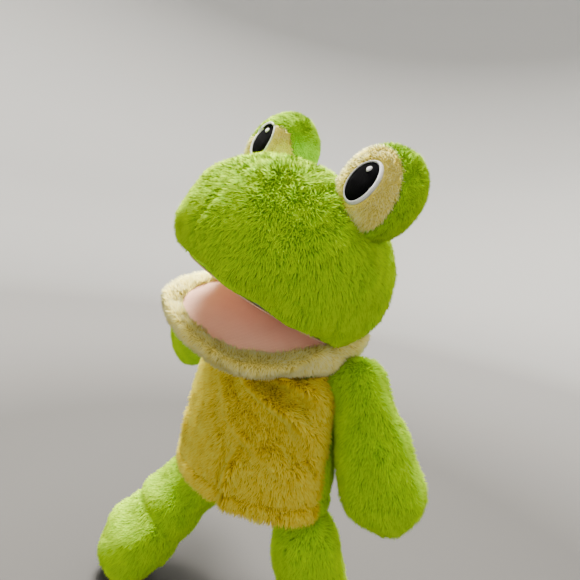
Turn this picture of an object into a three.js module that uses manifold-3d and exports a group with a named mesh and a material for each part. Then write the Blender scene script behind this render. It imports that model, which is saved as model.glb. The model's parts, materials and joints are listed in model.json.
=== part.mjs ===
// A plush frog hand puppet: a sleeve worn on the forearm, a stuffed head worked by the four fingers,
// a lower jaw worked by the thumb, two stuffed arms and two stuffed legs.
//
// Millimetres, +Z up along the body. The origin is the centre of the hand opening, the puppet looks
// along -Y, and its own left is +X. Each cloth or stuffing piece is one closed solid.
import * as THREE from 'three';
import { mergeVertices } from 'three/addons/utils/BufferGeometryUtils.js';
import Module from 'manifold-3d';

const wasm = await Module();
wasm.setup();

// ---------------------------------------------------------------- driving dimensions

const DEG = Math.PI / 180;
const CLEAR = 0.3; // gap kept between two pieces that touch
const PLUSH = 3.5; // pile fabric with its backing
const CLOTH = 1.2; // lining cloth
const BOARD = 2.4; // stiff felt board behind each half of the mouth
const FAR = 400; // larger than the puppet, for cutting tools

// The sleeve: half widths across X and Y and the centre's place, at heights up the body. It leans
// back and towards the puppet's left as it rises, because the wrist inside it is bent.
const SLEEVE = [
  { z: 0, a: 71, b: 49, x: 0, y: 0 },
  { z: 30, a: 68, b: 48, x: 0, y: 0 },
  { z: 65, a: 66, b: 47, x: 0, y: 2 },
  { z: 95, a: 63, b: 48, x: 2, y: 4 },
  { z: 126, a: 50.2, b: 50.2, x: 4, y: 8 },
  { z: 140, a: 50.2, b: 50.2, x: 4, y: 8 },
];
const HEM = 12; // depth of the turned-in hem
const HEM_THICK = 2.4;
const LINING_TOP = 92;
const COLLAR_FRONT = 101; // height of the body's top edge under the chin
const COLLAR_BACK = 127; // and at the nape

// The neck: rings of cloth, one inside the other, round the point that the head turns about.
const NECK = new THREE.Vector3(4, 8, 126);
const SLOPE_REACH = 50; // a sloping edge's two heights are given this far before and behind the neck
const NECK_PLUSH = { radii: [42.5, 45.5], low: 92, front: 108, back: 133 };
const NECK_LINING = { radii: [40, 41.6], low: 96, front: 106, back: 134 };
const NAPE = { radii: [36.2, 39.2], drop: 24 }; // the head's own ring hangs this far below the neck's centre

// The head, in its own frame: the mouth's fold is its X axis and the palate is its XY plane.
const HEAD_TURN = -6; // about Z, towards the puppet's right
const HEAD_TILT = 17; // about Y, towards the puppet's left
const HEAD_NOD = -17; // about X, snout up
const NECK_IN_HEAD = new THREE.Vector3(0, 25, -18);
const SKULL = { centre: [0, -22, 37], radii: [72, 84, 61], power: 2.2 };
const NAPE_FRONT = 14; // the nape ring is open in front of this, where the hand comes up
const FACE_SEAM = 22; // the face panels meet the back panel here
const PALATE = { halfWidth: 55, length: 92, power: 2.5 };
const BOARD_INSET = 1; // from the palate lining's edge to its board's edge
const POCKET_POWER = 3.4; // how square a pocket's sections are
const FINGERS = { halfWidth: 41, height: 24, length: 84 }; // room for four fingers
const PALM = { halfWidth: 34, front: -8, back: 34, top: 44, power: 3 }; // room for the knuckles and palm

// The jaw, in its own frame: the mouth's fold is its X axis and its floor is its XY plane.
const MOUTH_OPEN = 28;
// tail is how far the bowl's form runs on behind the fold, and backShare is its depth there.
const JAW = { halfWidth: 66, length: 86, depth: 22, power: 2.4, tail: 18, backShare: 0.62 };
const JAW_LIP = 11; // width of the padded lip round the mouth's floor
const FOLD = 0.8; // each half of the mouth stops this far from the fold
const THUMB = { halfWidth: 15, height: 12, length: 62 };

// The eyes: flattened bulbs, yellow in front and green behind.
const EYE = { x: 50, y: -44, z: 101, yaw: 10, pitch: -9 };
const BULB = { width: 26, height: 30, front: 20, back: 28, power: 2.2 };
const BULB_SEAM = -4; // the yellow front is sewn to the green back in front of the bulb's middle
const BRIDGE = [6, 3, 8]; // half sizes of the stuffing that joins the two halves of a bulb
const PUPIL = { halfWidth: 8.4, halfHeight: 13.2, inward: 4.2, down: 7, tilt: 10 };
const RING = { halfWidth: 10.2, halfHeight: 15, outward: 1 };
const GLINT = { halfWidth: 1.6, halfHeight: 2.2, inward: 0.5, up: 7.5 };
const THREAD = 0.9; // thickness of the satin stitch

// The limbs: clubs with a small round end at the body and a big one at the tip.
const ROOT_FLAT = 0.85; // how flat a limb is at the body
const ARM = { root: 18, middle: 27, tip: 33, reach: 80, flat: 0.68 };
const SHOULDER = { out: 78, z: 110 };
const ARM_LEFT = new THREE.Vector3(0.31, 0.18, -0.94);
const ARM_RIGHT = new THREE.Vector3(-0.86, 0.42, -0.32);
const LEG = { root: 27, shin: 28, foot: 33, shinAt: 42, heel: 86, flat: 0.7 };
const HIP = { x: 62, y: 6, z: -27.6 };
const LEG_LEFT = new THREE.Vector3(0.15, 0.25, -0.95);
const LEG_RIGHT = new THREE.Vector3(-0.35, -0.5, -0.79);

// How many flats go round, and from pole to pole of, each kind of curved form.
const SIDES = { form: [24, 12], pocket: [20, 8], jaw: [28, 10], bulb: [16, 10] };
const SLEEVE_SIDES = 32;
const OUTLINE_SIDES = 28;
const LIMB_SIDES = { around: 12, rootArc: 4, tipArc: 6 };
const OVAL_SIDES = 8;

// ---------------------------------------------------------------- colours

const GREEN = plush('#86b51d');
const YELLOW = plush('#e8cf52');
const LIP_YELLOW = plush('#e3d873');
const PINK = new THREE.MeshStandardMaterial({ color: '#d9a391', roughness: 0.85 });
const LINING = new THREE.MeshStandardMaterial({ color: '#dcdccb', roughness: 0.8 });
const FELT = new THREE.MeshStandardMaterial({ color: '#8d8a86', roughness: 0.95 });
const STUFFING = new THREE.MeshStandardMaterial({ color: '#f2f0ea', roughness: 1 });
const BLACK_THREAD = new THREE.MeshStandardMaterial({ color: '#14141a', roughness: 0.55 });
const WHITE_THREAD = new THREE.MeshStandardMaterial({ color: '#e9e9ec', roughness: 0.5 });

function plush(color) {
  return new THREE.MeshStandardMaterial({ color, roughness: 0.95, metalness: 0 });
}

// ---------------------------------------------------------------- solids

/** A closed geometry as a solid that can be joined and cut. */
function solid(geometry) {
  const bare = geometry.index ? geometry.toNonIndexed() : geometry.clone();
  for (const name of ['normal', 'uv']) bare.deleteAttribute(name);
  const merged = mergeVertices(bare, 1e-4);
  const vertProperties = merged.attributes.position.array;
  const triVerts = new Uint32Array(merged.index.array);
  const made = new wasm.Manifold(new wasm.Mesh({ numProp: 3, vertProperties, triVerts }));
  if (made.volume() > 0) return made;
  return new wasm.Manifold(new wasm.Mesh({ numProp: 3, vertProperties, triVerts: triVerts.reverse() }));
}

/** A solid back as a geometry, with flat normals. */
function geometryOf(shape) {
  const mesh = shape.getMesh();
  const indexed = new THREE.BufferGeometry();
  indexed.setAttribute('position', new THREE.BufferAttribute(mesh.vertProperties, 3));
  indexed.setIndex(new THREE.BufferAttribute(mesh.triVerts, 1));
  const flat = indexed.toNonIndexed();
  flat.computeVertexNormals();
  return flat;
}

/** Moves every vertex of a geometry by a function of its place. */
function deform(geometry, move) {
  const places = geometry.attributes.position;
  const point = new THREE.Vector3();
  for (let i = 0; i < places.count; i += 1) {
    move(point.fromBufferAttribute(places, i));
    places.setXYZ(i, point.x, point.y, point.z);
  }
  return geometry;
}

/** A block from its lowest corner to its highest. */
function block(low, high) {
  const size = high.map((top, i) => top - low[i]);
  const box = new THREE.BoxGeometry(...size);
  return solid(box.translate(...high.map((top, i) => top - size[i] / 2)));
}

/** A unit ball along Z whose sections are superellipses of the given power. */
function squareBall(power, sides) {
  const ball = new THREE.SphereGeometry(1, ...sides).rotateX(Math.PI / 2);
  return deform(ball, (p) => {
    const sum = p.toArray().reduce((total, value) => total + Math.abs(value) ** power, 0);
    p.divideScalar(sum ** (1 / power));
  });
}

/** A rounded form with its own half sizes, optionally taken in all round. */
function puff({ centre, radii, power }, inset = 0, sides = SIDES.form) {
  const ball = squareBall(power, sides);
  deform(ball, (p) => {
    p.set(...radii.map((radius, i) => centre[i] + p.getComponent(i) * (radius - inset)));
  });
  return solid(ball);
}

function ballAbout(centre, radius) {
  return puff({ centre: centre.toArray(), radii: [radius, radius, radius], power: 2 });
}

function hollowBall(centre, [inner, outer]) {
  return ballAbout(centre, outer).subtract(ballAbout(centre, inner));
}

/** A flat plate with a superellipse's outline in front of the mouth's fold, between two heights. */
function mouthPlate({ halfWidth, length, power }, inset, low, high) {
  const outline = new THREE.Shape();
  const steps = OUTLINE_SIDES;
  for (let i = 0; i <= steps; i += 1) {
    const turn = Math.PI * (1 + i / steps);
    const [c, s] = [Math.cos(turn), Math.sin(turn)];
    const x = (halfWidth - inset) * Math.sign(c) * Math.abs(c) ** (2 / power);
    const y = -FOLD + (length - inset) * Math.sign(s) * Math.abs(s) ** (2 / power);
    if (i === 0) outline.moveTo(x, y);
    else outline.lineTo(x, y);
  }
  const plate = new THREE.ExtrudeGeometry(outline, { depth: high - low, bevelEnabled: false });
  return solid(plate.translate(0, 0, low));
}

/** The space inside a pocket, grown all round: also used for cutting the pocket's neighbours. */
function pocketRoom({ halfWidth, height, length }, low, grow) {
  const centre = [0, -FOLD, low + height / 2];
  const radii = [halfWidth + grow, length + grow, height / 2 + grow];
  return puff({ centre, radii, power: POCKET_POWER }, 0, SIDES.pocket);
}

/** An open-backed pocket: a flattened tube with a closed, rounded front, its mouth at the fold. */
function pocket(size, low, wall) {
  const front = block([-FAR, -FAR, -FAR], [FAR, -FOLD, FAR]);
  return pocketRoom(size, low, wall).subtract(pocketRoom(size, low, 0)).intersect(front);
}

// ---------------------------------------------------------------- the sleeve

/** Half widths and centre of the sleeve at a height, blended smoothly between the stations. */
function sleeveAt(z) {
  const last = SLEEVE.length - 1;
  const next = Math.min(Math.max(SLEEVE.findIndex((s) => s.z > z), 1), last);
  const [from, to] = [SLEEVE[next - 1], SLEEVE[next]];
  const t = THREE.MathUtils.clamp((z - from.z) / (to.z - from.z), 0, 1);
  const mix = (key) => THREE.MathUtils.lerp(from[key], to[key], t);
  return { a: mix('a'), b: mix('b'), x: mix('x'), y: mix('y') };
}

/** A closed tube between two depths under the sleeve's outer face, and two heights. */
function sleeveTube(outer, inner, low, high) {
  const nominal = SLEEVE[0].a;
  const between = SLEEVE.map((s) => s.z).filter((z) => z > low && z < high);
  const heights = [low, ...between, high];
  const profile = [
    ...heights.map((z) => new THREE.Vector2(nominal - outer, z)),
    ...heights.reverse().map((z) => new THREE.Vector2(nominal - inner, z)),
  ];
  profile.push(profile[0].clone());
  const tube = new THREE.LatheGeometry(profile, SLEEVE_SIDES).rotateX(Math.PI / 2);
  deform(tube, (p) => {
    const depth = nominal - Math.hypot(p.x, p.y);
    const angle = Math.atan2(p.y, p.x);
    const { a, b, x, y } = sleeveAt(p.z);
    p.set(x + (a - depth) * Math.cos(angle), y + (b - depth) * Math.sin(angle), p.z);
  });
  return solid(tube);
}

/** Everything below a plane that slopes from the chin up to the nape. */
function underSlope(front, back) {
  const [near, far] = [NECK.y - SLOPE_REACH, NECK.y + SLOPE_REACH];
  const outline = new THREE.Shape([
    new THREE.Vector2(-FAR, -FAR),
    new THREE.Vector2(FAR, -FAR),
    new THREE.Vector2(FAR, back + ((back - front) * (FAR - far)) / (far - near)),
    new THREE.Vector2(-FAR, front - ((back - front) * (near + FAR)) / (far - near)),
  ]);
  const slab = new THREE.ExtrudeGeometry(outline, { depth: 2 * FAR, bevelEnabled: false });
  // The outline is drawn in Y and Z, and extruded along X.
  const placed = slab.rotateX(Math.PI / 2).rotateZ(Math.PI / 2).translate(-FAR, 0, 0);
  return solid(placed);
}

const frontHalf = block([-FAR, -FAR, -FAR], [FAR, -CLEAR / 2, FAR]);
const backHalf = block([-FAR, CLEAR / 2, -FAR], [FAR, FAR, FAR]);

const bodySkin = sleeveTube(0, PLUSH, 0, COLLAR_BACK + 2).intersect(underSlope(COLLAR_FRONT, COLLAR_BACK));
const hemBand = sleeveTube(PLUSH + CLEAR, PLUSH + CLEAR + HEM_THICK, 0, HEM);
const bodyLining = sleeveTube(PLUSH + CLEAR, PLUSH + CLEAR + CLOTH, HEM + CLEAR, LINING_TOP);

// ---------------------------------------------------------------- the neck

/** One band of the neck: a ball's shell between a level edge and a sloping one. */
function neckBand({ radii, low, front, back }) {
  const below = block([-FAR, -FAR, -FAR], [FAR, FAR, low]);
  return hollowBall(NECK, radii).intersect(underSlope(front, back)).subtract(below);
}

const neckPlush = neckBand(NECK_PLUSH);

// ---------------------------------------------------------------- the head

const skullSkin = puff(SKULL).subtract(puff(SKULL, PLUSH));
const aboveMouth = block([-FAR, -FAR, CLEAR], [FAR, FAR, FAR]);
const napeRing = hollowBall(NECK_IN_HEAD, NAPE.radii)
  .intersect(block([-FAR, NAPE_FRONT, NECK_IN_HEAD.z - NAPE.drop], [FAR, FAR, PLUSH]));
const napeRoom = ballAbout(NECK_IN_HEAD, NAPE.radii[0]);
// The head's underside behind the mouth, from the skull's edge in to the nape ring.
const underside = puff(SKULL)
  .intersect(block([-FAR, NAPE_FRONT, CLEAR], [FAR, FAR, PLUSH]))
  .subtract(napeRoom);
const headSkin = skullSkin.intersect(aboveMouth);
const behindSeam = block([-FAR, FACE_SEAM + CLEAR / 2, -FAR], [FAR, FAR, FAR]);
const beforeSeam = block([-FAR, -FAR, -FAR], [FAR, FACE_SEAM - CLEAR / 2, FAR]);
const headBack = headSkin.intersect(behindSeam).add(underside.intersect(behindSeam)).add(napeRing);
const facePanels = headSkin.intersect(beforeSeam).subtract(
  block([-FAR, NAPE_FRONT - CLEAR, -FAR], [FAR, FAR, PLUSH + CLEAR]));
const leftHalf = block([CLEAR / 2, -FAR, -FAR], [FAR, FAR, FAR]);
const rightHalf = block([-FAR, -FAR, -FAR], [-CLEAR / 2, FAR, FAR]);

const palateTop = 2 * CLEAR + CLOTH + BOARD;
const insideFace = puff(SKULL, PLUSH + CLEAR);
const palateLining = mouthPlate(PALATE, 0, CLEAR, CLEAR + CLOTH).intersect(insideFace);
const palateBoard = mouthPlate(PALATE, BOARD_INSET, 2 * CLEAR + CLOTH, palateTop).intersect(insideFace);
const fingerLow = palateTop + CLEAR + CLOTH;
const fingerPocket = pocket(FINGERS, fingerLow, CLOTH);
const palmRoom = puff({
  centre: [0, (PALM.front + PALM.back) / 2, 0],
  radii: [PALM.halfWidth, (PALM.back - PALM.front) / 2, PALM.top],
  power: PALM.power,
});
const headFilling = insideFace
  .intersect(block([-FAR, -FAR, palateTop + CLEAR], [FAR, FAR, FAR]))
  .subtract(pocketRoom(FINGERS, fingerLow, CLOTH + CLEAR))
  .subtract(palmRoom);

// ---------------------------------------------------------------- the jaw

/** The jaw's outside: a shallow bowl, shallower at the fold than at the lip. */
function jawForm(inset) {
  const { halfWidth, length, depth, power, tail, backShare } = JAW;
  const reach = (length + tail) / 2;
  const ball = squareBall(power, SIDES.jaw);
  deform(ball, (p) => {
    const y = -length + reach + p.y * (reach - inset);
    const share = THREE.MathUtils.lerp(backShare, 1, THREE.MathUtils.clamp(-y / length, 0, 1));
    p.set(p.x * (halfWidth - inset), y, p.z * (depth * share - inset));
  });
  return solid(ball);
}

const jawFront = block([-FAR, -FAR, -FAR], [FAR, -FOLD, -CLEAR]);
const FLOOR = { halfWidth: JAW.halfWidth - JAW_LIP, length: JAW.length - JAW_LIP, power: PALATE.power };
const boardLow = -(2 * CLEAR + CLOTH + BOARD);
const jawLining = mouthPlate(FLOOR, 0, -CLEAR - CLOTH, -CLEAR);
const jawBoard = mouthPlate(FLOOR, BOARD_INSET, boardLow, -(2 * CLEAR + CLOTH));
const thumbLow = boardLow - CLEAR - CLOTH - THUMB.height;
const thumbPocket = pocket(THUMB, thumbLow, CLOTH);
const chinPlush = jawForm(0)
  .subtract(jawForm(PLUSH).intersect(block([-FAR, -FAR, -FAR], [FAR, FAR, boardLow - PLUSH])))
  .intersect(jawFront)
  .subtract(mouthPlate(FLOOR, -CLEAR, boardLow - CLEAR, FAR))
  .subtract(pocketRoom(THUMB, thumbLow, CLOTH + CLEAR));

// ---------------------------------------------------------------- the eyes

const beforeBulbSeam = block([-FAR, -FAR, -FAR], [FAR, BULB_SEAM - CLEAR / 2, FAR]);
const behindBulbSeam = block([-FAR, BULB_SEAM + CLEAR / 2, -FAR], [FAR, FAR, FAR]);

/** One half of an eye's bulb, in the eye's frame: it looks along -Y. side is 'front' or 'back'. */
function bulb(side, inset) {
  const radii = [BULB.width, side === 'front' ? BULB.front : BULB.back, BULB.height];
  const form = puff({ centre: [0, 0, 0], radii, power: BULB.power }, inset, SIDES.bulb);
  return form.intersect(side === 'front' ? beforeBulbSeam : behindBulbSeam);
}

/** A prism along Y with an oval outline, for cutting a patch out of the bulb's face. */
function ovalPrism(halfWidth, halfHeight, x, z, tilt) {
  const outline = new THREE.Shape().absellipse(0, 0, halfWidth, halfHeight, 0, 2 * Math.PI, false, tilt);
  const prism = new THREE.ExtrudeGeometry(
    outline, { depth: FAR, bevelEnabled: false, curveSegments: OVAL_SIDES });
  return solid(prism.rotateX(Math.PI / 2).translate(x, 0, z));
}

/** The satin stitch on an eye: a layer lying just off the bulb's face. */
function stitchLayer() {
  const radii = [BULB.width, BULB.front, BULB.height];
  const face = (grow) => puff({ centre: [0, 0, 0], radii, power: BULB.power }, -grow, SIDES.bulb);
  return face(CLEAR + THREAD).subtract(face(CLEAR));
}

/** The pieces of one eye, in the head's frame; side is 1 for the left eye and -1 for the right. */
function eyePieces(side) {
  const tilt = -side * PUPIL.tilt * DEG;
  const oval = ({ halfWidth, halfHeight }, x, z, grow = 0) => ovalPrism(
    halfWidth + grow, halfHeight + grow, x - side * PUPIL.inward, z - PUPIL.down, tilt);
  const pupilRim = oval(PUPIL, 0, 0);
  const pupilHole = oval(PUPIL, 0, 0, CLEAR);
  const glintRim = oval(GLINT, side * GLINT.inward, GLINT.up);
  const glintHole = oval(GLINT, side * GLINT.inward, GLINT.up, CLEAR);
  const ringRim = oval(RING, side * RING.outward, 0);
  const turn = new THREE.Matrix4().compose(
    new THREE.Vector3(side * EYE.x, EYE.y, EYE.z),
    new THREE.Quaternion().setFromEuler(new THREE.Euler(EYE.pitch * DEG, 0, side * EYE.yaw * DEG, 'ZXY')),
    new THREE.Vector3(1, 1, 1),
  );
  const place = (shape) => solid(geometryOf(shape).applyMatrix4(turn));
  const onSkull = (shape) => place(shape).subtract(puff(SKULL, -CLEAR));
  const filling = bulb('front', PLUSH + CLEAR).add(bulb('back', PLUSH + CLEAR))
    .add(block(BRIDGE.map((half) => -half), BRIDGE).translate(0, BULB_SEAM, 0));
  return {
    front: onSkull(bulb('front', 0).subtract(bulb('front', PLUSH))),
    back: onSkull(bulb('back', 0).subtract(bulb('back', PLUSH))),
    filling: onSkull(filling),
    ring: place(stitchLayer().intersect(ringRim).subtract(pupilHole)),
    pupil: place(stitchLayer().intersect(pupilRim).subtract(glintHole)),
    glint: place(stitchLayer().intersect(glintRim)),
  };
}

// ---------------------------------------------------------------- the limbs

/** A round-ended outline through circles (radius, distance) strung along an axis. */
function limbProfile(circles, inset) {
  const points = [];
  const arc = (radius, at, from, to, steps) => {
    for (let i = 0; i <= steps; i += 1) {
      const angle = THREE.MathUtils.lerp(from, to, i / steps);
      points.push(new THREE.Vector2(radius * Math.cos(angle), at + radius * Math.sin(angle)));
    }
  };
  const [root, tip] = [circles[0], circles[circles.length - 1]];
  const lean = Math.asin((tip.radius - root.radius) / (tip.at - root.at));
  arc(root.radius - inset, root.at, -Math.PI / 2, -lean, LIMB_SIDES.rootArc);
  for (const { radius, at } of circles.slice(1, -1)) points.push(new THREE.Vector2(radius - inset, at));
  arc(tip.radius - inset, tip.at, -lean, Math.PI / 2, LIMB_SIDES.tipArc);
  points[0].x = 0;
  points[points.length - 1].x = 0;
  return points;
}

/** A stuffed limb along +Z with its wide way across X, flattened across Y. */
function limb(circles, flat, inset) {
  const body = new THREE.LatheGeometry(limbProfile(circles, inset), LIMB_SIDES.around).rotateX(Math.PI / 2);
  const root = circles[0];
  deform(body, (p) => {
    const share = THREE.MathUtils.smoothstep(p.z, root.at - root.radius, root.at + 2 * root.radius);
    p.y *= THREE.MathUtils.lerp(ROOT_FLAT, flat, share);
  });
  return solid(body);
}

/** The three pieces of a limb, placed at a joint and pointing along a direction. */
function limbPieces(circles, flat, joint, direction) {
  const along = direction.clone().normalize();
  // The seam runs round the wide way, so its plane stays as near to the body's front plane as it can.
  const across = new THREE.Vector3(0, 1, 0).cross(along).normalize();
  const normal = new THREE.Vector3().crossVectors(along, across);
  const turn = new THREE.Matrix4().makeBasis(across, normal, along).setPosition(joint.x, joint.y, joint.z);
  const place = (shape) => solid(geometryOf(shape).applyMatrix4(turn));
  const skin = limb(circles, flat, 0).subtract(limb(circles, flat, PLUSH));
  const filling = limb(circles, flat, PLUSH + CLEAR);
  // normal points to +Y in the body's frame, so the front is on the side where Y is negative.
  return {
    front: place(skin.intersect(frontHalf)),
    back: place(skin.intersect(backHalf)),
    filling: place(filling),
  };
}

const armCircles = [
  { radius: ARM.root, at: 0 },
  { radius: ARM.middle, at: ARM.reach / 2 },
  { radius: ARM.tip, at: ARM.reach },
];
const legCircles = [
  { radius: LEG.root, at: 0 },
  { radius: LEG.shin, at: LEG.shinAt },
  { radius: LEG.foot, at: LEG.heel },
];

// ---------------------------------------------------------------- the puppet

const puppet = new THREE.Group();
puppet.name = 'frog_hand_puppet';

const head = new THREE.Group();
head.rotation.set(HEAD_NOD * DEG, HEAD_TILT * DEG, HEAD_TURN * DEG, 'ZYX');
head.position.copy(NECK_IN_HEAD).negate().applyEuler(head.rotation).add(NECK);
puppet.add(head);

const jaw = new THREE.Group();
jaw.rotation.x = MOUTH_OPEN * DEG;
head.add(jaw);

/** Adds one named piece to a group. */
function add(group, name, shape, material) {
  const mesh = new THREE.Mesh(geometryOf(shape), material);
  mesh.name = name;
  group.add(mesh);
}

add(puppet, 'belly_panel', bodySkin.intersect(frontHalf), YELLOW);
add(puppet, 'back_panel', bodySkin.intersect(backHalf), GREEN);
add(puppet, 'hem_front', hemBand.intersect(frontHalf), YELLOW);
add(puppet, 'hem_back', hemBand.intersect(backHalf), GREEN);
add(puppet, 'body_lining', bodyLining, LINING);
add(puppet, 'neck_front', neckPlush.intersect(frontHalf), YELLOW);
add(puppet, 'neck_back', neckPlush.intersect(backHalf), GREEN);
add(puppet, 'neck_lining', neckBand(NECK_LINING), LINING);

add(head, 'face_left', facePanels.intersect(leftHalf), GREEN);
add(head, 'face_right', facePanels.intersect(rightHalf), GREEN);
add(head, 'head_back', headBack, GREEN);
add(head, 'head_filling', headFilling, STUFFING);
add(head, 'palate_lining', palateLining, PINK);
add(head, 'palate_board', palateBoard, FELT);
add(head, 'finger_pocket', fingerPocket, LINING);

add(jaw, 'chin_plush', chinPlush, LIP_YELLOW);
add(jaw, 'jaw_lining', jawLining, PINK);
add(jaw, 'jaw_board', jawBoard, FELT);
add(jaw, 'thumb_pocket', thumbPocket, LINING);

for (const [name, side] of [['left', 1], ['right', -1]]) {
  const eye = eyePieces(side);
  add(head, `eye_${name}_front`, eye.front, YELLOW);
  add(head, `eye_${name}_back`, eye.back, GREEN);
  add(head, `eye_${name}_filling`, eye.filling, STUFFING);
  add(head, `eye_${name}_ring`, eye.ring, WHITE_THREAD);
  add(head, `eye_${name}_pupil`, eye.pupil, BLACK_THREAD);
  add(head, `eye_${name}_glint`, eye.glint, WHITE_THREAD);

  const middle = sleeveAt(SHOULDER.z);
  const shoulder = { x: middle.x + side * SHOULDER.out, y: middle.y, z: SHOULDER.z };
  const arm = limbPieces(armCircles, ARM.flat, shoulder, side > 0 ? ARM_LEFT : ARM_RIGHT);
  const hip = { x: side * HIP.x, y: HIP.y, z: HIP.z };
  const leg = limbPieces(legCircles, LEG.flat, hip, side > 0 ? LEG_LEFT : LEG_RIGHT);
  for (const [limbName, pieces] of [['arm', arm], ['leg', leg]]) {
    add(puppet, `${limbName}_${name}_front`, pieces.front, GREEN);
    add(puppet, `${limbName}_${name}_back`, pieces.back, GREEN);
    add(puppet, `${limbName}_${name}_filling`, pieces.filling, STUFFING);
  }
}

export default puppet;
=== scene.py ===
"""A plush frog hand puppet: its pile fabrics, stuffing, lining cloth and embroidery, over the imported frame.

Lengths in the tables below are millimetres, and MM turns them to Blender's metres.
"""
import json
import math

import bmesh
import bpy
import numpy as np
from mathutils import Matrix, Vector
from mathutils.bvhtree import BVHTree


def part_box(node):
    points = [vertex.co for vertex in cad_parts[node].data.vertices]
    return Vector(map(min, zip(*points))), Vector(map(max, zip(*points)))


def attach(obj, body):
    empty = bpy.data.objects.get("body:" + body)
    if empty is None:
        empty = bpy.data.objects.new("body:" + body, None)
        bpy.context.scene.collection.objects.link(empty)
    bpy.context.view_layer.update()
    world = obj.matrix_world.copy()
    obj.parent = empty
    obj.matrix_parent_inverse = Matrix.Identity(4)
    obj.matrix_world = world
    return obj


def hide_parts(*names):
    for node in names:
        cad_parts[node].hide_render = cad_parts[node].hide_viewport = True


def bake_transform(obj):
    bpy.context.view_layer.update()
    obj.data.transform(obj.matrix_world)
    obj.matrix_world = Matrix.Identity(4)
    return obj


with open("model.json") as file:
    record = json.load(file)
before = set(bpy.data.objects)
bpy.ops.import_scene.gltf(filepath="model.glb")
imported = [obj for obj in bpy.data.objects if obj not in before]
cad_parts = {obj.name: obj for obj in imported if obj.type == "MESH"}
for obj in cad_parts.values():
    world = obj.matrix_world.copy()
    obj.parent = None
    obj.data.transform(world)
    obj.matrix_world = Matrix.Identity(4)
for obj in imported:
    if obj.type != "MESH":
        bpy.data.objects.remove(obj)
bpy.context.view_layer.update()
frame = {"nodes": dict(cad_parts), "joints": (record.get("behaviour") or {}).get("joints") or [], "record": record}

MM = 0.001
SEED = 11

# ------------------------------------------------------------------ sizes and finishes

PILE_LONG = 5.6    # body, head and limbs
PILE_LIP = 4.8     # the padded lip of the jaw
PILE_SHORT = 3.4   # eyes
TUFT_WIDTH = 1.0   # across a tuft's root
TUFTS_PER_MM2 = 1.75
ROOT_TIP = 0.4     # the knitted ground between the tufts is painted this share of the way from the roots' painted shade to the tips' painted light
SWIRL = 0.3        # how far handling has turned the pile from its combed way
SEAM_DEPTH = 2.2   # a sewn seam pulls the fabric in this far
SEAM_WIDTH = 3.2
CLOTH_THICK = 1.1
TRICOT_THICK = 0.7
PLUSH_THICK = 2.4

# Folds of the belly panel: points (x, z) on the cloth, how deep, and how wide the roll beside them is.
FOLDS = [
    {"path": [(8, 101), (18, 93), (32, 86), (46, 77), (54, 66), (60, 52)], "depth": 11.0, "width": 7.0},
    {"path": [(40, 102), (47, 99), (54, 95), (60, 86)], "depth": 6.0, "width": 4.5},
    {"path": [(19, 44), (17, 32), (15, 18), (15, 2)], "depth": 6.5, "width": 4.5},
    {"path": [(-48, 52), (-44, 38), (-46, 24)], "depth": 4.5, "width": 6.0},
    {"path": [(-6, 84), (4, 66), (24, 52), (44, 40)], "depth": 4.5, "width": 7.0},
]
VALLEY = 2.4        # the folds' valleys stay this close, clear of the lining
HEM_STITCH = 13.0  # height of the hem's row of stitches
HEM_BACK_UP = 12.0  # the hem is turned in to this height
HEM_INSIDE = 5.4    # and lies this far inside the sleeve's outer face
LINING_INSIDE = 4.2  # as the lining above it does

PALATE_Z = 0.3      # the lining's middle above the fold, in the head's axes
FLOOR_Z = -0.9      # and in the jaw's
MOUTH_SQUARE = 2.5  # how square the mouth's outline is
LIP_RAISE = 0.8     # the upper lip curls up at the sides
BACK_SEAM = 22      # the face panels meet the back of the head here, behind the mouth's fold
NAPE_FRONT = 14     # the nape's ring is open in front of this
HAND_HOLE = 37      # radius of the hole for the hand in the head's underside
FOOT_CREASE = 52    # how far down a leg the foot is turned forward
EYE_SEAM_FORWARD = 2.5  # the green plush comes this far over the yellow's edge
EYE_SEAM_TILT = 0.35  # further at the top than at the bottom
EYE_SEAM_YAW = 0.3    # and further on the eye's outer side
STITCH = 0.7        # spacing of the satin stitches

SUN_HEX = "#fffaf0"


def linear(hex_colour):
    """An sRGB hex colour as linear RGBA."""
    values = [int(hex_colour[i:i + 2], 16) / 255 for i in (1, 3, 5)]
    return [v / 12.92 if v <= 0.04045 else ((v + 0.055) / 1.055) ** 2.4 for v in values] + [1.0]


def link_object(name, data):
    made = bpy.data.objects.new(name, data)
    bpy.context.scene.collection.objects.link(made)
    return made


# ------------------------------------------------------------------ camera

def make_camera():
    """Three quarters from the puppet's left, a little above, with the puppet leaning in the picture."""
    turn, lift, roll = (math.radians(a) for a in (37, 5, 10))
    data = bpy.data.cameras.new("camera")
    data.sensor_width = 36
    data.lens = 26
    data.clip_start = 0.01
    camera = link_object("camera", data)
    aim = Matrix.Rotation(turn, 4, "Z") @ Matrix.Rotation(math.pi / 2 - lift, 4, "X")
    place = Vector((211.6, -270.0, 192.8)) * MM
    camera.matrix_world = Matrix.Translation(place) @ aim @ Matrix.Rotation(roll, 4, "Z")
    bpy.context.scene.camera = camera


make_camera()

# ------------------------------------------------------------------ the frame's own places

JOINTS = {j["name"]: j for j in frame["joints"]}


def read_vectors(items, key):
    """One vector for each item of a mesh's list, as rows."""
    found = np.empty(len(items) * 3, np.float32)
    items.foreach_get(key, found)
    return found.reshape(-1, 3)


def cad_points(*names):
    """All corners of the named CAD nodes, in metres."""
    return np.concatenate([read_vectors(frame["nodes"][name].data.vertices, "co") for name in names]).astype(float)


def axes_at(origin, x, z):
    """A 4x4 matrix with the given origin and X axis, and Z as near to z as it can be."""
    x = np.array(x, float) / np.linalg.norm(x)
    y = np.cross(z, x)
    y /= np.linalg.norm(y)
    made = np.eye(4)
    made[:3, 0], made[:3, 1], made[:3, 2], made[:3, 3] = x, y, np.cross(x, y), origin
    return made


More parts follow.
